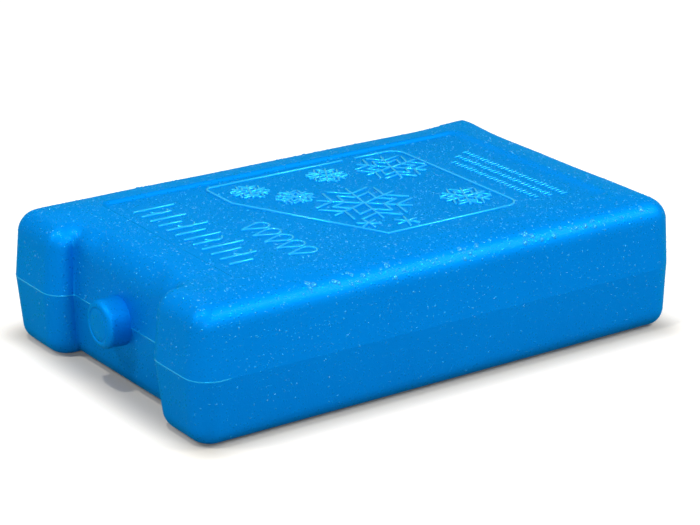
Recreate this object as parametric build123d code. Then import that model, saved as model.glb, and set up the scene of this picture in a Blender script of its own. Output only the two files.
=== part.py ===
"""Reusable ice pack: a sealed blow-moulded block of blue polyethylene, filled and then closed with a
round plug in a notch at one end. Millimetres. X runs along the pack with the notch at -X, Y is its
width and Z is up. The origin is the middle of the flat underside."""
import os
from math import radians, tan

from build123d import *

# Overall size
length = 200.0
width = 125.5
height = 49.0
parting_height = 23.8

# Plan outline, measured at the parting line of the two mould halves
far_corner_radius = 12.5
lobe_corner_radius = 10.0
lobe_inner_radius = 8.0
lobe_width = 33.25
notch_depth = 8.6

# Upper half: drafted walls up to a rolled shoulder, then a shallow slope up to the flat top
upper_draft = 5.0
slope_run = 14.5
slope_rise = 3.0
shoulder_radius = 8.0
shoulder_corner_radius = 8.3
slope_corner_radius = 0.4
lobe_crest = 1.0

# Lower half: drafted walls down to a rounded edge
lower_draft = 5.2
foot_radius = 7.6
foot_corner_radius = 8.2

# The notch is the space that a core block and two lobe blocks leave, and these run on past its edges
notch_reach = 35.0
lobe_root = 60.0
lobe_front_lap = 0.1
overrun = 30.0
level_tolerance = 0.001

# Recessed panel in the top
panel_rim = 17.4
notch_rim = 18.0
panel_depth = 1.4
panel_wall_angle = 45.0
panel_corner_radius = 4.0

# Raised line round the snowflake field, standing on the panel
bead_width = 1.0
bead_height = 0.5
field_near_y = -34.2
field_far_y = 39.8
field_right_x = 50.0
field_left_x = -33.3
field_slant_top_y = 20.9
field_slant_foot_x = -6.3
field_far_left_radius = 3.0
field_right_radius = 5.5

# Snowflakes in the field: centre X, centre Y, span across the arms, turn in degrees
snowflakes = [
    (-21.5, 28.2, 13.0, 8.0),
    (-11.5, 14.7, 13.0, 22.0),
    (11.2, 28.6, 14.0, 0.0),
    (36.0, 23.4, 25.0, 12.0),
    (4.8, -4.2, 33.0, 18.0),
    (38.5, -17.7, 17.0, 5.0),
    (-6.0, -22.4, 8.0, 26.0),
    (6.2, -27.6, 8.5, 10.0),
]
flake_height = 0.5
flake_line = 0.9
flake_arms = 6
flake_branch_angle = 60.0
flake_branches = [(0.42, 0.2), (0.68, 0.26)]
plain_flake_span = 10.0

# Filler plug, pressed into a counterbored hole in the middle of the notch wall
plug_diameter = 16.6
plug_proud = 7.5
plug_edge_radius = 1.6
plug_seat_depth = 1.3
plug_ring_diameter = 13.0
plug_ring_width = 0.7
plug_ring_depth = 0.35
plug_height = parting_height
spigot_diameter = 11.0
spigot_length = 7.0
spigot_lead = 0.8
plug_clearance = 0.1
bore_end_gap = 0.5

notch_wall_x = -length / 2 + notch_depth
notch_half_width = width / 2 - lobe_width
shoulder_height = height - slope_rise
shoulder_inset = (shoulder_height - parting_height) * tan(radians(upper_draft))


def level(z, left, right, near, far, radii):
    """One level of a block: a rectangle in plan with a radius for each corner, left-near first."""
    corners = [(left, near, z), (right, near, z), (right, far, z), (left, far, z)]
    return Face(FilletPolyline(*corners, radius=radii, close=True).wire())


def rolled(half, z, radius):
    """Rounds every edge of one half of a block that lies at one level."""
    edges = half.edges().filter_by_position(Axis.Z, z - level_tolerance, z + level_tolerance)
    return fillet(edges, radius)


def block(left, right, near, far, radii, near_slope=slope_run):
    """A closed block of two drafted halves, with a rolled and sloping edge on top and a rounded foot."""
    up = shoulder_inset
    down = parting_height * tan(radians(lower_draft))
    parting = level(parting_height, left, right, near, far, radii)
    shoulder = level(shoulder_height, left + up, right - up, near + up, far - up, [shoulder_corner_radius] * 4)
    top = level(height, left + up + slope_run, right - up - slope_run, near + up + near_slope,
                far - up - slope_run, [slope_corner_radius] * 4)
    foot = level(0, left + down, right - down, near + down, far - down, [foot_corner_radius] * 4)
    upper = rolled(loft([parting, shoulder], ruled=True) + loft([shoulder, top], ruled=True),
                   shoulder_height, shoulder_radius)
    return upper + rolled(loft([foot, parting], ruled=True), 0, foot_radius)


def notch_space():
    """The space in front of the notch wall and between the lobes, with the rolled edges it leaves."""
    side = width / 2 + overrun
    core = block(notch_wall_x, notch_wall_x + lobe_root, -side, side, [lobe_corner_radius] * 4)
    crest_y = width / 2 - shoulder_inset - slope_run - lobe_crest / 2
    inner_slope = crest_y - lobe_crest / 2 - notch_half_width - shoulder_inset
    lobe = block(-length / 2 - lobe_front_lap, -length / 2 + lobe_root, notch_half_width, side,
                 [lobe_inner_radius] * 4, inner_slope)
    middle = Pos(-length / 2, 0, height / 2)
    space = middle * Box(2 * notch_reach, 2 * crest_y, height + overrun)
    return space - core - lobe - mirror(lobe, about=Plane.XZ)


def moulded_block():
    """The plain block less the notch."""
    radii = [lobe_corner_radius, far_corner_radius, far_corner_radius, lobe_corner_radius]
    return block(-length / 2, length / 2, -width / 2, width / 2, radii) - notch_space()


def panel_cut():
    """The shallow panel: a rounded rectangle whose walls slope in to a flat floor."""
    left = notch_wall_x + notch_rim
    right = length / 2 - panel_rim
    half_y = width / 2 - panel_rim
    floor = Plane.XY.offset(height - panel_depth)
    run = panel_depth / tan(radians(panel_wall_angle))
    sketch = floor * Pos((left + right) / 2, 0) * RectangleRounded(
        right - left - 2 * run, 2 * (half_y - run), panel_corner_radius)
    return extrude(sketch, panel_depth * 2, taper=-(90 - panel_wall_angle))


def field_bead():
    """The raised line round the snowflake field, with one slanted side."""
    near = bead_width / 2
    corners = [
        (field_left_x, field_far_y, field_far_left_radius),
        (field_right_x, field_far_y, field_right_radius),
        (field_right_x, field_near_y, field_right_radius),
        (field_slant_foot_x, field_near_y, near),
        (field_left_x, field_slant_top_y, near),
    ]
    points = [(x, y) for x, y, radius in corners]
    field = make_face(FilletPolyline(*points, radius=[radius for x, y, radius in corners], close=True))
    ring = offset(field, bead_width / 2) - offset(field, -bead_width / 2)
    return extrude(Pos(0, 0, height - panel_depth) * ring, bead_height)


def snowflake(span):
    """A flat six-armed snowflake, with paired side branches on each arm when it is large enough."""
    arm = span / 2
    bars = [Pos(arm / 2, 0) * Rectangle(arm, flake_line)]
    if span > plain_flake_span:
        for place, share in flake_branches:
            for side in (-1, 1):
                turn = side * flake_branch_angle
                bars.append(Pos(place * arm, 0) * Rot(0, 0, turn) * Pos(share * span / 2, 0)
                            * Rectangle(share * span, flake_line))
    one = Sketch() + bars
    return Sketch() + [Rot(0, 0, 360 / flake_arms * k) * one for k in range(flake_arms)]


def flake_field():
    """Every snowflake, raised on the floor of the panel."""
    floor = height - panel_depth
    return [extrude(Pos(x, y, floor) * Rot(0, 0, turn) * snowflake(span), flake_height)
            for x, y, span, turn in snowflakes]


def along_x(radius, start_x, end_x):
    """A cylinder on the plug's axis between two places along X."""
    return Pos(start_x, 0, plug_height) * Rot(0, 90, 0) * Cylinder(
        radius, end_x - start_x, align=(Align.CENTER, Align.CENTER, Align.MIN))


seat_x = notch_wall_x + plug_seat_depth
front_x = notch_wall_x - plug_proud


def plug_hole():
    """The counterbored blind hole that takes the plug."""
    seat = along_x(plug_diameter / 2 + plug_clearance, notch_wall_x - notch_depth, seat_x)
    bore = along_x(spigot_diameter / 2 + plug_clearance, seat_x, seat_x + spigot_length + bore_end_gap)
    return seat + bore


def filler_plug():
    """The plug: a round head with a soft front edge and a shallow ring, on a spigot with a lead-in."""
    head = along_x(plug_diameter / 2, front_x, seat_x)
    head = fillet(head.edges().group_by(Axis.X)[0], plug_edge_radius)
    spigot = along_x(spigot_diameter / 2, seat_x, seat_x + spigot_length)
    spigot = chamfer(spigot.edges().group_by(Axis.X)[-1], spigot_lead)
    ring = along_x(plug_ring_diameter / 2, front_x, front_x + plug_ring_depth)
    ring -= along_x(plug_ring_diameter / 2 - plug_ring_width, front_x, front_x + plug_ring_depth)
    return head + spigot - ring


def pack_body():
    """The sealed block with its panel, raised ornament and plug hole."""
    body = moulded_block() - panel_cut() - plug_hole() + field_bead()
    for flake in flake_field():
        body += flake
    return body


os.makedirs("parts", exist_ok=True)
export_step(pack_body(), "parts/pack_body.step")
export_step(filler_plug(), "parts/filler_plug.step")
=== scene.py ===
"""Looks of the reusable ice pack: a blow-moulded block of blue polyethylene that has just come out of the
cold, so that moisture from the air has settled on it in fine beads. Sizes are in millimetres until a mesh
is made, with the axes and origin of the CAD model."""

import bmesh
import bpy
import numpy as np
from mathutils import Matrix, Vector


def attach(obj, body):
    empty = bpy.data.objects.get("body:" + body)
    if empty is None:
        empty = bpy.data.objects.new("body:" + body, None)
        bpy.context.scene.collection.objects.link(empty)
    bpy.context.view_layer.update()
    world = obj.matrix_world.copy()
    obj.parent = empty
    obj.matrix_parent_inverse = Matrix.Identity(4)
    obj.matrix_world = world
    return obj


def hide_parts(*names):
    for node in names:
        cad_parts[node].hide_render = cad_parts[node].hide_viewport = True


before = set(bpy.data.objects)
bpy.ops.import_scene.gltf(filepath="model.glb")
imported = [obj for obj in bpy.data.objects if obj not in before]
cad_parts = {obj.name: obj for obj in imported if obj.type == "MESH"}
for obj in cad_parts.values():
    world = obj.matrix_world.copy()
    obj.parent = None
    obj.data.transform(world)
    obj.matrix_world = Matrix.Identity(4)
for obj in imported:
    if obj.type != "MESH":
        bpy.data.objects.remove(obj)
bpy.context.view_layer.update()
MM = 0.001

# Main sizes, as in the CAD model
LENGTH = 200.0
WIDTH = 125.5
HEIGHT = 49.0
PARTING = 23.8
NOTCH_WALL = -91.4
BOX_LOW = (-LENGTH / 2, -WIDTH / 2, 0.0)
BOX_HIGH = (LENGTH / 2, WIDTH / 2, HEIGHT)

# The notch as the photograph shows it: off the middle, with a turned wall and lobes of uneven length
NOTCH_HALF = 29.6
NOTCH_MIDDLE = -0.8
NOTCH_TURN = 0.018
NOTCH_TURN_REACH = 35.0
LOBE_TAPER = 0.0148
LOBE_TAPER_FROM = 45.0

# Crease between the notch wall and the lobes, which widens towards the top
CREASE = 0.5
CREASE_WIDER = 5.0
CREASE_WIDER_FROM = 40.0
CREASE_WIDER_BLEND = 8.0

# Upper half: wall draft, shoulder and slope, and the rolled edge between wall and slope
UPPER_DRAFT = np.radians(5.0)
SHOULDER = 46.3
SLOPE_RUN = 14.5
SLOPE = np.arctan((HEIGHT - SHOULDER) / SLOPE_RUN)
SHOULDER_INSET = (SHOULDER - PARTING) * np.tan(UPPER_DRAFT)
ROLL = 6.1
NOTCH_ROLL_WIDER = 2.2
NOTCH_ROLL_FROM = -76.0
NOTCH_ROLL_HALF = 27.0
NOTCH_ROLL_BLEND = (8.0, 10.0)
SLOPE_EDGE = 1.0
SLOPE_CREASE = 1.6
LOBE_EDGE = 1.2
TOP_EASE = 1.2

# Corner radii at the parting line and at the shoulder. The far right corner is tighter and fuller.
CORNER_NOTCH_END = (8.8, 6.6)
CORNER_FAR_END = (11.6, 8.4)
CORNER_LOBE_INNER = (8.0, 6.0)
CORNER_TIGHTER = 3.6
FAR_CORNER = (97.0, 57.0)
FAR_CORNER_FILL = 1.3
FAR_CORNER_SPREAD = 10.0

# Lower half, with the corner radii of the notch end and of the far end at its foot
LOWER_DRAFT = np.radians(5.3)
FOOT_CORNERS = (7.6, 5.6)
FOOT_ROLL = 6.1
FOOT_ROLL_WIDER = 0.6
FOOT_BLEND = 6.0

# Flash along the parting line of the notch end
FLASH_HALF = 0.2
FLASH_PROUD = 0.07
FLASH_SUNK = 0.1
FLASH_FROM = -80.0
FLASH_BLEND = 12.0

# How far the skin is drawn in by blowing and cooling: in all, and in long and short waves
SWELL = 0.1
SWELL_LONG = 0.05
SWELL_SHORT = 0.04

# Recessed panel
PANEL_LEFT = -73.4
PANEL_RIGHT = 82.6
PANEL_HALF = 45.3
PANEL_DEPTH = 1.4
PANEL_EDGE = 2.1
PANEL_SOFTER = 2.6
PANEL_SOFTER_FROM = 70.0
PANEL_SOFTER_BLEND = (10.0, 8.0)
PANEL_CORNER = 4.0
FLOOR_Z = HEIGHT - PANEL_DEPTH


# Meshes

def mesh_object(name, points, faces, material, smooth=True):
    """Puts points in millimetres and faces into a mesh at the origin."""
    mesh = bpy.data.meshes.new(name)
    mesh.from_pydata((np.asarray(points) * MM).tolist(), [], faces)
    work = bmesh.new()
    work.from_mesh(mesh)
    bmesh.ops.remove_doubles(work, verts=work.verts, dist=1e-7)
    bmesh.ops.recalc_face_normals(work, faces=work.faces)
    work.to_mesh(mesh)
    work.free()
    mesh.materials.append(material)
    mesh.polygons.foreach_set("use_smooth", np.full(len(mesh.polygons), smooth))
    mesh.update()
    obj = bpy.data.objects.new(name, mesh)
    bpy.context.scene.collection.objects.link(obj)
    return obj


def inside_box(points):
    """Points held inside the CAD model's box."""
    return np.clip(points, BOX_LOW, BOX_HIGH)


def grid_faces(rows, columns, closed=True, start=0):
    """Quads between neighbouring rows of a grid whose columns run round and may close on themselves."""
    last = columns if closed else columns - 1
    row, column = np.meshgrid(np.arange(rows - 1), np.arange(last), indexing="ij")
    after = (column + 1) % columns
    a = row * columns + column
    b = row * columns + after
    quads = np.stack([a, b, b + columns, a + columns], -1).reshape(-1, 4)
    return (quads + start).tolist()


# Form of the block: a field that is negative inside the plastic and zero on its skin

def round_max(a, b, radius):
    """The larger of two distances, with the edge between them rounded to a quarter circle."""
    gap = np.minimum(np.abs(a - b), radius)
    rolled = (a + b + 2 * radius - np.sqrt(2 * radius ** 2 - gap ** 2)) / 2
    return np.where(np.abs(a - b) < radius, rolled, np.maximum(a, b))


def round_min(a, b, radius):
    """The smaller of two distances, with the crease between them filled to a quarter circle."""
    return -round_max(-a, -b, radius)


def round_corner(a, b, radius):
    """Distance outside a corner that is rounded on its skin and comes to a point deeper in, as a true
    offset does."""
    arc = np.hypot(np.maximum(a + radius, 0), np.maximum(b + radius, 0)) - radius
    return arc + np.minimum(np.maximum(a, b) + radius, 0)


def ease(t):
    """A rise from 0 to 1 with level ends."""
    t = np.clip(t, 0, 1)
    return t * t * (3 - 2 * t)


def lobe_front(y):
    """Where the lobes end in X. The near one is a little shorter, as the photograph shows."""
    return -LENGTH / 2 + LOBE_TAPER * np.maximum(LOBE_TAPER_FROM - y, 0)


def notch_wall(y):
    """Where the notch wall stands in X, a little further in at the near side."""
    return NOTCH_WALL - NOTCH_TURN * np.clip(y, -NOTCH_TURN_REACH, NOTCH_TURN_REACH)


def walls(x, y, lean, cosine, corner_notch, corner_far, corner_inner, crease):
    """Distance outside the drafted walls in plan: the outer rectangle, less the notch between two lobes."""
    side = (np.abs(y) - WIDTH / 2) * cosine + lean
    front = (lobe_front(y) - x) * cosine + lean
    back = (x - LENGTH / 2) * cosine + lean
    corner = np.where(x < 0, corner_notch, corner_far - np.where(y > 0, CORNER_TIGHTER, 0.0))
    outer = round_corner(np.maximum(front, back), side, corner)
    notch = (notch_wall(y) - x) * cosine + lean
    inner = (NOTCH_HALF - np.abs(y - NOTCH_MIDDLE)) * cosine + lean
    lobe = round_corner(front, inner, corner_inner)
    return np.maximum(outer, round_min(notch, lobe, crease))


def recess(x, y):
    """Depth of the panel: it falls over a soft edge inside a rounded rectangle."""
    middle = (PANEL_LEFT + PANEL_RIGHT) / 2
    half = (PANEL_RIGHT - PANEL_LEFT) / 2
    out = round_max(np.abs(x - middle) - half, np.abs(y) - PANEL_HALF, PANEL_CORNER)
    along, across = PANEL_SOFTER_BLEND
    softer = ease((x - PANEL_SOFTER_FROM) / along) * ease((PANEL_HALF - np.abs(y)) / across)
    return PANEL_DEPTH * ease(-out / (PANEL_EDGE + PANEL_SOFTER * softer))


def swell(x, y, z):
    """The slight unevenness that blow moulding leaves as the walls cool. It only draws the skin in. The
    lengths of the waves differ along each axis, so that no pattern shows."""
    long = np.sin(x / 13.0 + y / 31.0 + 0.6) * np.sin(y / 11.0 - z / 9.0 + 1.1)
    short = np.sin(x / 7.3 - z / 6.1) * np.sin(y / 6.7 + 0.4)
    return SWELL + SWELL_LONG * long + SWELL_SHORT * short


def upper_half(x, y, z):
    """Drafted walls, a rolled shoulder, a shallow slope and the flat top with its panel."""
    lean = (z - PARTING) * np.sin(UPPER_DRAFT)
    rise = np.clip((z - PARTING) / (SHOULDER - PARTING), 0, 1)
    ends = (CORNER_NOTCH_END, CORNER_FAR_END, CORNER_LOBE_INNER)
    corner = [low + (high - low) * rise for low, high in ends]
    crease = CREASE + CREASE_WIDER * ease((z - CREASE_WIDER_FROM) / CREASE_WIDER_BLEND)
    wall = walls(x, y, lean, np.cos(UPPER_DRAFT), *corner, crease)
    away = (x - FAR_CORNER[0]) ** 2 + (y - FAR_CORNER[1]) ** 2
    full = FAR_CORNER_FILL * np.exp(-away / (2 * FAR_CORNER_SPREAD ** 2))
    lift = (z - SHOULDER - full) * np.cos(SLOPE)
    run = np.sin(SLOPE)
    side = lift - (WIDTH / 2 - SHOULDER_INSET - np.abs(y)) * run
    front = lift - (x - lobe_front(y) - SHOULDER_INSET) * run
    back = lift - (LENGTH / 2 - SHOULDER_INSET - x) * run
    notch = lift - (x - notch_wall(y) - SHOULDER_INSET) * run
    inner = lift - (np.abs(y - NOTCH_MIDDLE) - NOTCH_HALF - SHOULDER_INSET) * run
    slope = round_max(np.maximum(front, back), side, SLOPE_EDGE)
    slope = round_max(slope, round_min(notch, inner, SLOPE_CREASE), LOBE_EDGE)
    top = round_max(slope, z + recess(x, y) - HEIGHT, TOP_EASE)
    along, across = NOTCH_ROLL_BLEND
    wider = ease((NOTCH_ROLL_FROM - x) / along) * ease((NOTCH_ROLL_HALF - np.abs(y)) / across)
    return round_max(wall, top, ROLL + NOTCH_ROLL_WIDER * wider) + swell(x, y, z)


def lower_half(x, y, z):
    """Drafted walls down to a rounded foot and the flat underside."""
    lean = (PARTING - z) * np.sin(LOWER_DRAFT)
    drop = np.clip((PARTING - z) / PARTING, 0, 1)
    parted = (CORNER_NOTCH_END[0], CORNER_FAR_END[0])
    corner = [high + (low - high) * drop for high, low in zip(parted, FOOT_CORNERS)]
    wall = walls(x, y, lean, np.cos(LOWER_DRAFT), *corner, CORNER_LOBE_INNER[0], CREASE)
    foot = FOOT_ROLL + FOOT_ROLL_WIDER * x * 2 / LENGTH
    return round_max(wall, -z, foot) + swell(x, y, z) * ease(z / FOOT_BLEND)


HALVINGS = 34


def meet(field, origin, ray, reach):
    """Where rays from inside the plastic leave it, found by halving the stretch that holds the skin."""
    near = np.zeros(origin.shape[:-1])
    far = np.full(origin.shape[:-1], reach)
    for step in range(HALVINGS):
        half = (near + far) / 2
        at = origin + ray * half[..., None]
        inside = field(at[..., 0], at[..., 1], at[..., 2]) < 0
        near = np.where(inside, half, near)
        far = np.where(inside, far, half)
    return origin + ray * ((near + far) / 2)[..., None]


def straight(start, end, count):
    """Points along a line, without its end."""
    t = np.arange(count)[:, None] / count
    return np.array(start) + (np.array(end) - np.array(start)) * t


def bend(centre, radius, start, end, count):
    """Points along an arc, without its end, with angles in degrees."""
    turn = np.radians(start + (end - start) * np.arange(count) / count)
    return np.array(centre) + radius * np.stack([np.cos(turn), np.sin(turn)], -1)


# Columns of the skin on each run of half a loop, from the middle of the far end round to the notch
RUNS = (14, 18, 76, 18, 10, 16, 5, 30)

# Rays leave a core inside the block for an edge that only sets their directions. They are level, or
# tilted about a low and a high pivot, and those to the top stand upright.
CORE_INSET = 13.0
CORE_NOTCH = -78.5
CORE_LOBE = 41.0
CORE_CORNERS = (2.0, 2.0, 2.0)
EDGE_CORNERS = (12.0, 10.0, 8.0)
LOW_PIVOT = 12.0
HIGH_PIVOT = 36.5
RAY_REACH = 30.0
TOP_RAY_FROM = 40.0
TOP_RAY_REACH = 20.0

# The underside and the panel close on a line between these two places along X
SPINE = (-45.0, 55.0)

# Loops outside and inside the panel's soft edge: gap to the edge and radius of the corners. The columns of
# the lobe end at a share of the panel's half width.
PANEL_RIM = (1.5, 4.5)
PANEL_FLOOR = (-4.0, 2.0)
PANEL_LOBE = 0.8

# Rows of the skin, from the middle of the underside to the middle of the panel. The shares are parts of
# the way out from the spine and back to it.
UNDERSIDE_SHARES = (0.0, 0.35, 0.7, 0.9)
FOOT_ROWS = 17
LOWER_ROWS = 7
PARTING_CLEAR = 0.5
UPPER_ROWS = 8
ROLL_ROWS = 29
SLOPE_ROWS = 8
PANEL_EDGE_ROWS = 17
PANEL_SHARES = (0.15, 0.3, 0.45, 0.6, 0.8, 1.0)


def outline(right, side, left, notch, inner, far_radius, near_radius, inner_radius):
    """Half of a loop in plan, from the middle of the far end round to the middle of the notch."""
    n = RUNS
    return np.concatenate([
        straight((right, 0), (right, side - far_radius), n[0]),
        bend((right - far_radius, side - far_radius), far_radius, 0, 90, n[1]),
        straight((right - far_radius, side), (left + near_radius, side), n[2]),
        bend((left + near_radius, side - near_radius), near_radius, 90, 180, n[3]),
        straight((left, side - near_radius), (left, inner + inner_radius), n[4]),
        bend((left + inner_radius, inner + inner_radius), inner_radius, 180, 270, n[5]),
        straight((left + inner_radius, inner), (notch, inner), n[6]),
        straight((notch, inner), (notch, 0), n[7]),
        [(notch, 0)]])


def panel_outline(gap, radius):
    """Half of a loop at a distance outside the panel's edge. Its left side is shared out over the lobe."""
    n = RUNS
    left = PANEL_LEFT - gap
    right = PANEL_RIGHT + gap
    side = PANEL_HALF + gap
    lobe = sum(n[4:7])
    return np.concatenate([
        straight((right, 0), (right, side - radius), n[0]),
        bend((right - radius, side - radius), radius, 0, 90, n[1]),
        straight((right - radius, side), (left + radius, side), n[2]),
        bend((left + radius, side - radius), radius, 90, 180, n[3]),
        straight((left, side - radius), (left, PANEL_LOBE * side), lobe),
        straight((left, PANEL_LOBE * side), (left, 0), n[7]),
        [(left, 0)]])


def half_rows(facing):
    """Half of the skin as rows: underside, foot, walls, roll, slope, panel and its middle. The half is laid
    out at +Y, and facing is -1 where it is then mirrored to stand for the near half."""
    end = LENGTH / 2
    edge = outline(end, WIDTH / 2, -end, NOTCH_WALL, NOTCH_HALF, *EDGE_CORNERS)
    end = LENGTH / 2 - CORE_INSET
    core = outline(end, WIDTH / 2 - CORE_INSET, -end, CORE_NOTCH, CORE_LOBE, *CORE_CORNERS)
    out = edge - core
    out = out / np.linalg.norm(out, axis=-1, keepdims=True)
    rim = panel_outline(*PANEL_RIM)
    inside = panel_outline(*PANEL_FLOOR)
    up = np.zeros((len(out), 3))
    up[:, 2] = 1

    def upper(x, y, z):
        return upper_half(x, y * facing, z)

    def lower(x, y, z):
        return lower_half(x, y * facing, z)

    def at(plan, z):
        return np.concatenate([plan, np.full((len(plan), 1), z)], -1)

    def level_ray():
        return np.concatenate([out, np.zeros((len(out), 1))], -1)

    def tilted(angle):
        return np.concatenate([out * np.cos(angle), np.full((len(out), 1), np.sin(angle))], -1)

    def spine(plan):
        return np.stack([np.clip(plan[:, 0], *SPINE), np.zeros(len(plan))], -1)

    def top(plan):
        return meet(upper, at(plan, TOP_RAY_FROM), up, TOP_RAY_REACH)

    rows = []
    for t in UNDERSIDE_SHARES:
        rows.append(at(spine(core) * (1 - t) + core * t, 0.0))
    for angle in np.radians(np.linspace(-90, 0, FOOT_ROWS)):
        rows.append(meet(lower, at(core, LOW_PIVOT), tilted(angle), RAY_REACH))
    for z in np.linspace(LOW_PIVOT, PARTING - PARTING_CLEAR, LOWER_ROWS)[1:]:
        rows.append(meet(lower, at(core, z), level_ray(), RAY_REACH))
    for lift in (-FLASH_HALF, 0.0, FLASH_HALF):
        field = lower if lift < 0 else upper
        rows.append(meet(field, at(core, PARTING + lift), level_ray(), RAY_REACH))
    for z in np.linspace(PARTING + PARTING_CLEAR, HIGH_PIVOT, UPPER_ROWS)[:-1]:
        rows.append(meet(upper, at(core, z), level_ray(), RAY_REACH))
    for angle in np.radians(np.linspace(0, 90, ROLL_ROWS)):
        rows.append(meet(upper, at(core, HIGH_PIVOT), tilted(angle), RAY_REACH))
    for t in np.linspace(0, 1, SLOPE_ROWS)[1:]:
        rows.append(top(core * (1 - t) + rim * t))
    for t in np.linspace(0, 1, PANEL_EDGE_ROWS)[1:]:
        rows.append(top(rim * (1 - t) + inside * t))
    for t in PANEL_SHARES:
        rows.append(top(inside * (1 - t) + spine(inside) * t))
    return np.array(rows)


def body_rows():
    """The whole skin: the far half, then the near half from the notch back to the far end."""
    near = half_rows(-1)[:, -2:0:-1] * np.array([1.0, -1.0, 1.0])
    return np.concatenate([half_rows(1), near], 1)


# Colour and finish

def colour(hex_code):
    """An sRGB hex code as the linear colour that a shader takes."""
    parts = np.array([int(hex_code[k:k + 2], 16) for k in (1, 3, 5)]) / 255
    linear = np.where(parts <= 0.04045, parts / 12.92, ((parts + 0.055) / 1.055) ** 2.4)
    return (*linear.tolist(), 1.0)


def add_node(tree, kind, settings=None, inputs=None):
    """Adds a node with its settings, and its inputs as values or as links from other sockets."""
    made = tree.nodes.new(kind)
    for name, value in (settings or {}).items():
        setattr(made, name, value)
    for name, value in (inputs or {}).items():
        if isinstance(value, bpy.types.NodeSocket):
            tree.links.new(value, made.inputs[name])
        else:
            made.inputs[name].default_value = value
    return made


def new_material(name):
    """A material with an empty tree and its output node."""
    material = bpy.data.materials.new(name)
    material.use_nodes = True
    tree = material.node_tree
    tree.nodes.clear()
    return material, tree, add_node(tree, "ShaderNodeOutputMaterial")


# Real sizes of the patterns, in metres. The beads are about 0.7 mm across on this spacing, the smallest
# that still shows, and the grain is the matt surface that the mould leaves.
CLOUD_SIZE = 0.030
BEAD_SPACING = 0.0013
GRAIN_SIZE = 0.0006


def polyethylene(name, base, pale):
    """High-density polyethylene, blow-moulded: a satin skin of one colour all through, under a film of
    moisture whose beads are too small to be made one by one, which roughens it and makes it sparkle."""
    material, tree, output = new_material(name)
    place = add_node(tree, "ShaderNodeTexCoord").outputs["Object"]
    cloud = add_node(tree, "ShaderNodeTexNoise", inputs={
        "Vector": place, "Scale": 1 / CLOUD_SIZE, "Detail": 3.0})
    mixed = add_node(tree, "ShaderNodeMix", {"data_type": "RGBA"}, {
        "Factor": cloud.outputs["Fac"], "A": colour(base), "B": colour(pale)})
    cells = add_node(tree, "ShaderNodeTexVoronoi", {"feature": "F1"}, {
        "Vector": place, "Scale": 1 / BEAD_SPACING})
    chance = add_node(tree, "ShaderNodeSeparateColor", inputs={"Color": cells.outputs["Color"]})
    reach = add_node(tree, "ShaderNodeMapRange", inputs={
        "Value": chance.outputs["Red"], "To Min": 0.12, "To Max": 0.48})
    bead = add_node(tree, "ShaderNodeMapRange", {"interpolation_type": "SMOOTHSTEP"}, {
        "Value": cells.outputs["Distance"], "From Min": reach.outputs["Result"], "From Max": 0.0})
    grain = add_node(tree, "ShaderNodeTexNoise", inputs={
        "Vector": place, "Scale": 1 / GRAIN_SIZE, "Detail": 2.0})
    fine = add_node(tree, "ShaderNodeBump", inputs={
        "Height": grain.outputs["Fac"], "Strength": 0.4, "Distance": 0.00015})
    relief = add_node(tree, "ShaderNodeBump", inputs={
        "Height": bead.outputs["Result"], "Strength": 0.5, "Distance": 0.00012,
        "Normal": fine.outputs["Normal"]})
    gloss = add_node(tree, "ShaderNodeMapRange", inputs={
        "Value": bead.outputs["Result"], "From Max": 0.3, "To Min": 0.5, "To Max": 0.22})
    shader = add_node(tree, "ShaderNodeBsdfPrincipled", inputs={
        "Base Color": mixed.outputs["Result"], "Roughness": gloss.outputs["Result"], "IOR": 1.54,
        "Metallic": 0.4, "Specular IOR Level": 0.0, "Specular Tint": colour("#00FF80"),
        "Coat Weight": 0.02, "Coat Roughness": 0.12, "Coat IOR": 1.4, "Normal": relief.outputs["Normal"]})
    tree.links.new(shader.outputs["BSDF"], output.inputs["Surface"])
    return material


def wet(name, base, sheen, roughness, film):
    """Blue plastic under clear water that mirrors each lamp sharply. The base colours given to it are a
    lighter blue than the plastic's: a painted highlight on the raised strokes and the flash, and painted
    light gathered in the water beads.
    """
    material, tree, output = new_material(name)
    shader = add_node(tree, "ShaderNodeBsdfPrincipled", inputs={
        "Base Color": colour(base), "Roughness": roughness, "IOR": 1.33, "Metallic": sheen,
        "Specular IOR Level": 0.0, "Specular Tint": colour("#20FFB0"), "Coat Weight": film,
        "Coat Roughness": 0.05, "Coat IOR": 1.33})
    tree.links.new(shader.outputs["BSDF"], output.inputs["Surface"])
    return material


shell = polyethylene("polyethylene_blow_moulded", "#007DD6", "#0085DE")
# The beads take a lighter blue than the plastic: painted light for what the water gathers and focuses on
# the plastic beneath.
beads_painted_light_material = wet("water_beads_painted_light", "#0E98E2", 0.2, 0.15, 0.7)
# The relief takes a lighter blue than the plastic: a painted highlight along the raised strokes and the
# flash.
relief_painted_highlight_material = wet("polyethylene_relief_painted_highlight", "#14ACF0", 0.4, 0.18, 0.4)


# The block

# Keeps the creases beside the notch and at the panel crisp
CRISP_ANGLE = np.radians(38)

rows = inside_box(body_rows())
row_count, column_count = rows.shape[:2]
skin_faces = grid_faces(row_count, column_count)
body = mesh_object("moulded_block", rows.reshape(-1, 3), skin_faces, shell)
body.data.set_sharp_from_angle(angle=CRISP_ANGLE)
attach(body, "root")
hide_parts("pack_body")


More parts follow.
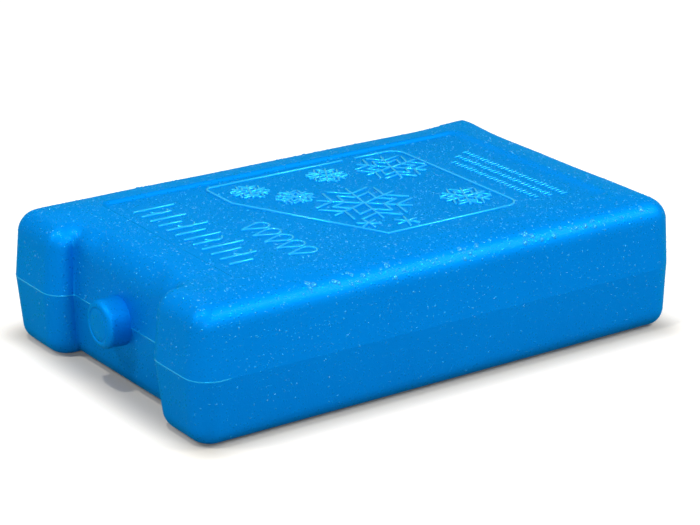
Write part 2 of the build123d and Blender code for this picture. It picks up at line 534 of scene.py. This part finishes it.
def flash_line():
    """The thin flash along the parting line of the notch end: a ridge on the three rows of the skin that
    hold the line, which sinks under the skin where the end rounds into the long sides."""
    middle = np.argmin(np.abs(rows[:, 0, 2] - PARTING))
    low, crest, high = rows[middle - 1:middle + 2]
    along = np.roll(crest, -1, 0) - np.roll(crest, 1, 0)
    out = np.stack([along[:, 1], -along[:, 0], 0 * along[:, 2]], -1)
    proud = (FLASH_PROUD + FLASH_SUNK) * ease((FLASH_FROM - crest[:, :1]) / FLASH_BLEND) - FLASH_SUNK
    crest = inside_box(crest + proud * out / np.linalg.norm(out, axis=-1, keepdims=True))
    end = crest[:, 0] < FLASH_FROM
    points = np.concatenate([low[end], crest[end], high[end]])
    faces = grid_faces(3, int(end.sum()), closed=False)
    # The flash takes the relief material, whose lighter blue is a painted highlight along it.
    piece = mesh_object("flash_line", points, faces, relief_painted_highlight_material)
    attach(piece, "root")


flash_line()


# The filler plug

PLUG_RADIUS = 8.3
PLUG_FRONT = NOTCH_WALL - 7.5
PLUG_SOFT = 2.0
PLUG_SIDES = 72

# Distance behind the plug's front and radius, at each step of the groove and of the face inside it. The
# root has what it adds to the plug's radius.
PLUG_GROOVE = [(0.0, 6.15), (0.1, 6.05), (0.28, 5.85), (0.32, 5.6), (0.24, 5.35), (0.1, 5.15), (0.05, 4.9)]
PLUG_FACE = [(0.02, 3.0), (0.0, 1.5), (0.0, 0.0)]
PLUG_ROOT = [(9.6, 0.15), (8.0, 0.1), (6.0, 0.05), (4.0, 0.0)]


def filler_plug():
    """A profile of distance along the axis and radius, turned about the plug's own axis, which runs along
    X: a head with a soft front edge, a shallow ring pressed into its face, and its root in the wall."""
    soft = PLUG_SOFT
    turn = np.radians(np.linspace(0, 90, 9))
    edge = [(soft - soft * np.sin(a), PLUG_RADIUS - soft + soft * np.cos(a)) for a in turn]
    end = [(PLUG_ROOT[0][0], 0.0)]
    root = [(depth, PLUG_RADIUS + wider) for depth, wider in PLUG_ROOT]
    profile = np.array(end + root + edge + PLUG_GROOVE + PLUG_FACE)
    around = 2 * np.pi * np.arange(PLUG_SIDES) / PLUG_SIDES
    x = PLUG_FRONT + profile[:, :1] + 0 * around
    y = profile[:, 1:] * np.cos(around)
    z = PARTING + profile[:, 1:] * np.sin(around)
    points = np.stack([x, y, z], -1).reshape(-1, 3)
    return mesh_object("filler_plug_head", points, grid_faces(len(profile), PLUG_SIDES), shell)


plug = filler_plug()
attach(plug, "root")
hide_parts("filler_plug")


# Raised ornament

STROKE_SUNK = 0.3
STROKE_SIDES = 16


def strokes(name, ends, line, lift):
    """Raised strokes with half-round tops and round ends. Each is a stadium: rings of points that shrink
    from its foot, just under the panel, to its crest. ends holds x, y of the start and of the end, line is
    the width and lift is the height."""
    ends = np.asarray(ends, float)
    start = ends[:, :2]
    end = ends[:, 2:]
    along = end - start
    span = np.linalg.norm(along, axis=-1, keepdims=True)
    unit = along / np.maximum(span, 1e-9)
    across = np.stack([-unit[:, 1], unit[:, 0]], -1)
    angle = np.pi * 2 * (np.arange(STROKE_SIDES) + 0.5) / STROKE_SIDES
    shrink = np.array([1.0, 1.0, 0.9, 0.7, 0.4, 0.0])
    tall = np.sqrt(1 - shrink ** 2) * lift
    tall[0] = -STROKE_SUNK
    base = np.where((np.cos(angle) > 0)[None, :, None], end[:, None], start[:, None])
    ring = np.cos(angle)[None, :, None] * unit[:, None] + np.sin(angle)[None, :, None] * across[:, None]
    plan = base[:, None] + ring[:, None] * (shrink * line / 2)[None, :, None, None]
    z = np.broadcast_to((FLOOR_Z + tall)[None, :, None], plan.shape[:3])
    points = np.concatenate([plan, z[..., None]], -1)
    count = len(shrink) * STROKE_SIDES
    faces = []
    for k in range(len(ends)):
        faces += grid_faces(len(shrink), STROKE_SIDES, start=k * count)
    # The strokes take the relief material, whose lighter blue is a painted highlight along them.
    piece = mesh_object(name, points.reshape(-1, 3), faces, relief_painted_highlight_material)
    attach(piece, "root")


def polyline(points):
    """Joins points one after another into strokes."""
    return [(*a, *b) for a, b in zip(points[:-1], points[1:])]


def turned(pieces, x, y, degrees):
    """Turns strokes about the origin, then moves them."""
    turn = np.radians(degrees)
    spin = np.array([[np.cos(turn), np.sin(turn)], [-np.sin(turn), np.cos(turn)]])
    ends = np.asarray(pieces, float).reshape(-1, 2) @ spin + np.array([x, y])
    return ends.reshape(-1, 4).tolist()


# Centre, span across the arms and turn of each snowflake, as in the CAD model
FLAKES = [
    (-21.5, 28.2, 13.0, 8.0),
    (-11.5, 14.7, 13.0, 22.0),
    (11.2, 28.6, 14.0, 0.0),
    (36.0, 23.4, 25.0, 12.0),
    (4.8, -4.2, 33.0, 18.0),
    (38.5, -17.7, 17.0, 5.0),
    (-6.0, -22.4, 8.0, 26.0),
    (6.2, -27.6, 8.5, 10.0),
]
PLAIN_SPAN = 10.0
ARMS = 6

# Place of each pair of side branches along an arm, and their length as a share of the span
BRANCHES = [(0.42, 0.2), (0.68, 0.26)]
BRANCH_ANGLE = 60


def snowflake(span):
    """Six arms with paired side branches, or bare arms when it is small."""
    arm = span / 2
    marks = [(0, 0, arm, 0)]
    if span > PLAIN_SPAN:
        for place, share in BRANCHES:
            for angle in (-BRANCH_ANGLE, BRANCH_ANGLE):
                marks += turned([(0, 0, share * span, 0)], place * arm, 0, angle)
    return sum([turned(marks, 0, 0, 360 / ARMS * k) for k in range(ARMS)], [])


flake_marks = sum([turned(snowflake(span), x, y, turn) for x, y, span, turn in FLAKES], [])
strokes("snowflakes", flake_marks, line=0.9, lift=0.46)


def arc_points(x, y, radius, start, end, count):
    """Points on an arc, with angles in degrees."""
    turn = np.radians(np.linspace(start, end, count))
    return [(x + radius * np.cos(a), y + radius * np.sin(a)) for a in turn]


# The line round the snowflake field, with one slanted side and a short gap in its far side
FIELD_LEFT = -33.3
FIELD_RIGHT = 50.0
FIELD_NEAR = -34.2
FIELD_FAR = 39.8
FIELD_LEFT_RADIUS = 3.0
FIELD_RIGHT_RADIUS = 5.5
FIELD_SLANT_FOOT = -6.3
FIELD_SLANT_TOP = 20.9
FIELD_GAP = (25.5, 31.5)


def field_strokes():
    """The two runs of the line, from the far left corner round to it again."""
    left = FIELD_LEFT + FIELD_LEFT_RADIUS
    left_far = FIELD_FAR - FIELD_LEFT_RADIUS
    right = FIELD_RIGHT - FIELD_RIGHT_RADIUS
    right_far = FIELD_FAR - FIELD_RIGHT_RADIUS
    right_near = FIELD_NEAR + FIELD_RIGHT_RADIUS
    before = arc_points(left, left_far, FIELD_LEFT_RADIUS, 180, 90, 5)
    before += [(FIELD_GAP[0], FIELD_FAR)]
    after = [(FIELD_GAP[1], FIELD_FAR)]
    after += arc_points(right, right_far, FIELD_RIGHT_RADIUS, 90, 0, 7)
    after += arc_points(right, right_near, FIELD_RIGHT_RADIUS, 0, -90, 7)
    after += [(FIELD_SLANT_FOOT, FIELD_NEAR), (FIELD_LEFT, FIELD_SLANT_TOP), (FIELD_LEFT, left_far)]
    return polyline(before) + polyline(after)


strokes("field_line", field_strokes(), line=0.95, lift=0.44)

# Icicles of uneven length in a row across the panel, with a shallow bow at every third one
ICICLE_ROOT = -66.2
ICICLE_LENGTHS = (15.5, 11.0, 13.5, 8.5)
ICICLE_PLACES = np.arange(31.5, -35.0, -5.6)
BOW_X = -58.5
BOW_DRIFT = 0.2
BOW_ASIDE = 2.6
BOW_RADIUS = 3.4

icicles = []
for k, y in enumerate(ICICLE_PLACES):
    tip = ICICLE_ROOT + ICICLE_LENGTHS[k % len(ICICLE_LENGTHS)]
    icicles += [(ICICLE_ROOT, y, tip, y)]
    if k % 3 == 0:
        icicles += polyline(arc_points(BOW_X + k * BOW_DRIFT, y - BOW_ASIDE, BOW_RADIUS, 200, 340, 8))
strokes("icicle_row", icicles, line=0.95, lift=0.46)

# Water drops in a row: a round belly that draws in to a point
DROP_POINT = -45.2
DROP_BELLY = -37.6
DROP_RADIUS = 2.9
DROP_PLACES = np.arange(-4.0, -36.0, -7.2)

drops = []
for y in DROP_PLACES:
    point = [(DROP_POINT, y)]
    drops += polyline(point + arc_points(DROP_BELLY, y, DROP_RADIUS, 125, -125, 12) + point)
strokes("drop_row", drops, line=0.85, lift=0.42)

# Rows of fine dashes at the far end: x of each row, and y of its start and end
DASH_ROWS = ((58.8, 15.7, -32.3), (64.2, 20.4, -33.6), (69.6, 23.0, -34.3))
DASH_STEP = 1.9
DASH_LENGTHS = (2.6, 1.6, 2.2)

dashes = []
for x, start, end in DASH_ROWS:
    for k, y in enumerate(np.arange(start, end, -DASH_STEP)):
        half = DASH_LENGTHS[k % len(DASH_LENGTHS)] / 2
        dashes += [(x - half, y, x + half, y)]
strokes("dash_rows", dashes, line=0.6, lift=0.3)


# Condensation

# Rings of a dome, as shares of half its size: how far out and how high they stand, and its crown
DOME_REACH = np.array([1.0, 0.86, 0.5])
DOME_HEIGHT = np.array([-0.12, 0.14, 0.3])
DOME_CROWN = 0.36
DOME_UNEVEN = (0.1, 0.06)

# Gives each dome its directions along the skin. No flat part of the skin faces this way.
SIDE_FROM = np.array([0.31, 0.87, 0.39])


def skin_samples(count, weight, seed):
    """Random places on the skin, spread by area and by a weight of place and direction, with normals."""
    chance = np.random.default_rng(seed)
    points = rows.reshape(-1, 3)
    quads = np.array(skin_faces)
    corner = points[quads]
    normal = np.cross(corner[:, 2] - corner[:, 0], corner[:, 3] - corner[:, 1])
    area = np.linalg.norm(normal, axis=-1) / 2
    normal = normal / np.maximum(2 * area[:, None], 1e-9)
    centre = corner.mean(1)
    outward = np.sign((normal * (centre - np.array([0.0, 0.0, HEIGHT / 2]))).sum(-1))
    normal = normal * np.where(outward == 0, 1, outward)[:, None]
    share = area * weight(centre, normal)
    picked = chance.choice(len(quads), count, p=share / share.sum())
    u, v = chance.random((2, count, 1))
    near = corner[picked, 0] * (1 - u) + corner[picked, 1] * u
    far = corner[picked, 3] * (1 - u) + corner[picked, 2] * u
    return near * (1 - v) + far * v, normal[picked]


def bead_domes(name, places, normals, sizes, seed, sides):
    """Domes of water: rings that shrink to a crown, a little uneven round the edge, stood on the skin."""
    chance = np.random.default_rng(seed)
    angle = 2 * np.pi * np.arange(sides) / sides
    half = sizes[:, None, None] / 2
    side = np.cross(normals, SIDE_FROM)
    side = side / np.linalg.norm(side, axis=-1, keepdims=True)
    other = np.cross(normals, side)
    phase = chance.random((len(places), 1)) * 2 * np.pi
    oval, lobed = DOME_UNEVEN
    uneven = 1 + oval * np.cos(2 * angle + phase) + lobed * np.cos(3 * angle + 2 * phase)
    reach = half * DOME_REACH[None, :, None] * uneven[:, None]
    spread = side[:, None, None] * np.cos(angle)[None, None, :, None] \
        + other[:, None, None] * np.sin(angle)[None, None, :, None]
    high = (half * DOME_HEIGHT[None, :, None])[..., None] * normals[:, None, None]
    rings = places[:, None, None] + spread * reach[..., None] + high
    crown = places + normals * sizes[:, None] / 2 * DOME_CROWN
    points = inside_box(np.concatenate([rings.reshape(len(places), -1, 3), crown[:, None]], 1))
    ring_count = len(DOME_REACH)
    quads = np.array(grid_faces(ring_count, sides))
    last = (ring_count - 1) * sides
    after = (np.arange(sides) + 1) % sides
    caps = np.stack([last + np.arange(sides), last + after, np.full(sides, last + sides)], -1)
    shift = (np.arange(len(places)) * (last + sides + 1))[:, None, None]
    faces = (quads + shift).reshape(-1, 4).tolist() + (caps + shift).reshape(-1, 3).tolist()
    # The domes take the beads material, whose lighter blue is painted light gathered in the water.
    piece = mesh_object(name, points.reshape(-1, 3), faces, beads_painted_light_material)
    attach(piece, "root")


def top_weight(centre, normal):
    """Beads are thickest on the upward faces and on the rolls beside them."""
    up = np.clip(normal[:, 2], 0, 1)
    return 0.02 + up ** 0.7


def side_weight(centre, normal):
    """Beads on the walls thin out downwards, and few are on the notch end."""
    wall = np.clip(1 - np.abs(normal[:, 2]) * 1.15, 0, 1)
    high = 0.35 + 0.65 * np.clip(centre[:, 2] / HEIGHT, 0, 1)
    front = np.where(normal[:, 0] < -0.5, 0.35, 1.0)
    return wall * high * front + 1e-6


def edge_weight(centre, normal):
    """The largest drops gather on the roll along both long sides."""
    middle = 0.78
    spread = 0.16
    notch_end = -60
    roll = np.exp(-((normal[:, 2] - middle) / spread) ** 2) * (np.abs(normal[:, 1]) > 0.4)
    return roll * (centre[:, 0] > notch_end) + 1e-7


size_chance = np.random.default_rng(41)


def condensation(name, count, weight, smallest, larger, power, seed, sides=8):
    """Domes of sizes from the smallest up. A higher power makes the larger ones rarer."""
    places, normals = skin_samples(count, weight, seed)
    sizes = smallest + larger * size_chance.random(count) ** power
    bead_domes(name, places, normals, sizes, seed + 1, sides)


condensation("mist_top", 6400, top_weight, smallest=0.3, larger=0.16, power=1, seed=5, sides=6)
condensation("beads_top", 2600, top_weight, smallest=0.5, larger=0.5, power=3, seed=7)
condensation("beads_walls", 2600, side_weight, smallest=0.32, larger=0.5, power=4, seed=9)
condensation("drops_edge", 150, edge_weight, smallest=0.8, larger=1.5, power=2.5, seed=11)


# Surroundings

TABLE_HALF = 4000.0

# In metres: half of the rectangle inside the rounded foot, and how far from there the table's painted glow
# takes to rise to full; beyond that the glow hides the pack's shadow
FOOT_RECTANGLE = (0.0905, 0.0565, 0.0)
GLOW_REACH = 0.02


def seen_ray(tree):
    """1 for rays that see or mirror a surface, and 0 for those that only gather light from it."""
    rays = add_node(tree, "ShaderNodeLightPath")
    seen = add_node(tree, "ShaderNodeMath", {"operation": "MAXIMUM"}, {
        0: rays.outputs["Is Camera Ray"], 1: rays.outputs["Is Glossy Ray"]})
    return add_node(tree, "ShaderNodeMath", {"operation": "MAXIMUM"}, {
        0: seen.outputs[0], 1: rays.outputs["Is Transmission Ray"]})


def floor():
    """A wide white table that keeps the shadow of the pack. It glows where it is seen, less and less
    towards the rectangle that the pack stands on."""
    material, tree, output = new_material("table_white")
    seen = seen_ray(tree)
    # The table is a warmer and paler grey where it is seen than in the light that it throws back. The warm
    # tint paints out the blue of the light that the pack throws into its shadow.
    shade = add_node(tree, "ShaderNodeMix", {"data_type": "RGBA"}, {
        "Factor": seen.outputs[0], "A": colour("#949494"), "B": colour("#BAB4A8")})
    matt = add_node(tree, "ShaderNodeBsdfDiffuse", inputs={"Color": shade.outputs["Result"]})
    place = add_node(tree, "ShaderNodeTexCoord").outputs["Object"]
    far = add_node(tree, "ShaderNodeVectorMath", {"operation": "ABSOLUTE"}, {0: place})
    far = add_node(tree, "ShaderNodeVectorMath", {"operation": "SUBTRACT"}, {
        0: far.outputs["Vector"], 1: FOOT_RECTANGLE})
    far = add_node(tree, "ShaderNodeVectorMath", {"operation": "MAXIMUM"}, {
        0: far.outputs["Vector"], 1: (0, 0, 0)})
    away = add_node(tree, "ShaderNodeVectorMath", {"operation": "LENGTH"}, {0: far.outputs["Vector"]})
    lift = add_node(tree, "ShaderNodeMapRange", {"interpolation_type": "SMOOTHSTEP"}, {
        "Value": away.outputs["Value"], "From Max": GLOW_REACH, "To Min": 0.06, "To Max": 0.75})
    lift = add_node(tree, "ShaderNodeMath", {"operation": "MULTIPLY"}, {
        0: lift.outputs["Result"], 1: seen.outputs[0]})
    glow = add_node(tree, "ShaderNodeEmission", inputs={"Strength": lift.outputs[0]})
    both = add_node(tree, "ShaderNodeAddShader")
    tree.links.new(matt.outputs[0], both.inputs[0])
    tree.links.new(glow.outputs[0], both.inputs[1])
    tree.links.new(both.outputs[0], output.inputs["Surface"])
    half = TABLE_HALF
    corners = [(-half, -half, 0), (half, -half, 0), (half, half, 0), (-half, half, 0)]
    table = mesh_object("table", corners, [(0, 1, 2, 3)], material, smooth=False)


def surroundings(ambient):
    """A white room: plain white where it is seen or mirrored, and a lower level as light."""
    world = bpy.data.worlds.new("white_room")
    bpy.context.scene.world = world
    world.use_nodes = True
    tree = world.node_tree
    tree.nodes.clear()
    seen = seen_ray(tree)
    level = add_node(tree, "ShaderNodeMapRange", inputs={
        "Value": seen.outputs[0], "To Min": ambient, "To Max": 1.0})
    sky = add_node(tree, "ShaderNodeBackground", inputs={
        "Color": colour("#FFFFFF"), "Strength": level.outputs["Result"]})
    output = add_node(tree, "ShaderNodeOutputWorld")
    tree.links.new(sky.outputs[0], output.inputs["Surface"])


def softbox(name, direction, distance, size, watts):
    """A rectangular lamp that faces the pack from a direction, with its length and width."""
    lamp = bpy.data.lights.new(name, "AREA")
    lamp.shape = "RECTANGLE"
    lamp.size, lamp.size_y = size
    lamp.energy = watts
    obj = bpy.data.objects.new(name, lamp)
    away = Vector(direction).normalized()
    obj.location = away * distance
    obj.rotation_euler = away.to_track_quat("Z", "Y").to_euler()
    bpy.context.scene.collection.objects.link(obj)


def camera():
    """The photograph's view: a long lens, looking down at 20 degrees on to the notch end and near side."""
    data = bpy.data.cameras.new("camera")
    data.sensor_width = 36.0
    data.lens = 124.1234
    obj = bpy.data.objects.new("camera", data)
    obj.location = (-0.451305, -0.651310, 0.316569)
    obj.rotation_euler = np.radians([69.829293, -0.296486, -34.718255]).tolist()
    bpy.context.scene.collection.objects.link(obj)
    bpy.context.scene.camera = obj


floor()
surroundings(0.05)
softbox("right_softbox", (0.55, -0.44, 0.71), distance=1.6, size=(0.6, 0.6), watts=13.6)
softbox("overhead_softbox", (-0.37, -0.12, 0.9), distance=0.9, size=(0.05, 0.05), watts=2.5)
softbox("left_softbox", (-0.68, 0.2, 0.68), distance=1.0, size=(0.14, 0.14), watts=2.6)
softbox("left_low_softbox", (-0.55, -0.7, 0.42), distance=1.2, size=(0.3, 0.3), watts=2.4)
softbox("near_softbox", (0.02, -0.7, 0.7), distance=1.0, size=(0.24, 0.24), watts=2.3)
softbox("back_softbox", (0.1, 0.7, 0.75), distance=1.2, size=(0.6, 0.6), watts=1.0)
camera()
bpy.context.scene.view_settings.view_transform = "Standard"

bpy.context.view_layer.update()
